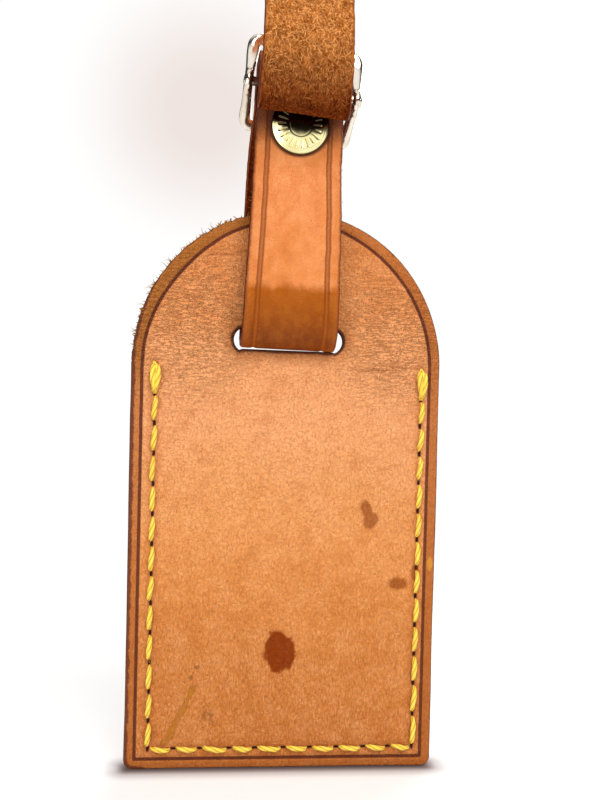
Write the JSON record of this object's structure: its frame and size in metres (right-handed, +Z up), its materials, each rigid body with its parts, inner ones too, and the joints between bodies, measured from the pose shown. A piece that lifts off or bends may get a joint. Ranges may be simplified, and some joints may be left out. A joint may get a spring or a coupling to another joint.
{
  "type": "luggage tag",
  "caption": "Arch-topped stitched leather luggage tag with a card pocket, hung on a riveted leather strap that passes through its slot and a small brass buckle.",
  "frame": {"origin": "middle of the tag's bottom edge, on the plane where the two leather panels meet", "axes": "+X across the tag, +Y from the smooth front face to the card pocket at the back, +Z up the tag towards the strap"},
  "size_m": [0.055, 0.0204, 0.1646],
  "materials": {
    "front_leather": "smooth vegetable-tanned, slightly worn",
    "pocket_leather": "smooth vegetable-tanned",
    "strap_leather": "smooth burnished outside, fibrous inside",
    "clear_film": "clear",
    "card": "uncoated card",
    "thread": "waxed linen thread",
    "rivet_brass": "polished",
    "buckle_brass": "polished, pale"
  },
  "bodies": {
    "tag": {"front_panel": "front_leather", "pocket_panel": "pocket_leather", "window_film": "clear_film", "front_thread": "thread", "back_thread": "thread"},
    "card": {"address_card": "card"},
    "strap": {"strap_loop": "strap_leather", "rivet_cap": "rivet_brass", "rivet_burr": "rivet_brass"},
    "tail": {"strap_tail": "strap_leather"},
    "buckle": {"buckle_frame": "buckle_brass", "buckle_bar": "buckle_brass"},
    "prong": {"buckle_prong": "buckle_brass"}
  },
  "joints": [
    {"name": "card_slide", "type": "slide", "parent": "tag", "child": "card", "axis": [0, 0, 1], "range_m": [0, 0.0045]},
    {"name": "tag_swing", "type": "hinge", "parent": "tag", "child": "strap", "pos_m": [-0.00016, -0.0002, 0.076], "axis": [0.9996, 0, -0.0288], "range_deg": [-4.5, 4.5]},
    {"name": "tail_bend", "type": "hinge", "parent": "strap", "child": "tail", "pos_m": [0.00154, -0.0082, 0.13518], "axis": [0.9996, 0, -0.0288], "range_deg": [-40, 60], "stiffness_Nm_per_rad": 0.004},
    {"name": "frame_pivot", "type": "hinge", "parent": "strap", "child": "buckle", "pos_m": [0.00158, -0.00015, 0.12097], "axis": [0.996, 0, -0.0898], "range_deg": [-4, 4]},
    {"name": "prong_pivot", "type": "hinge", "parent": "buckle", "child": "prong", "pos_m": [0.00158, -0.00015, 0.12097], "axis": [-0.996, 0, 0.0898], "range_deg": [0, 10]}
  ]
}
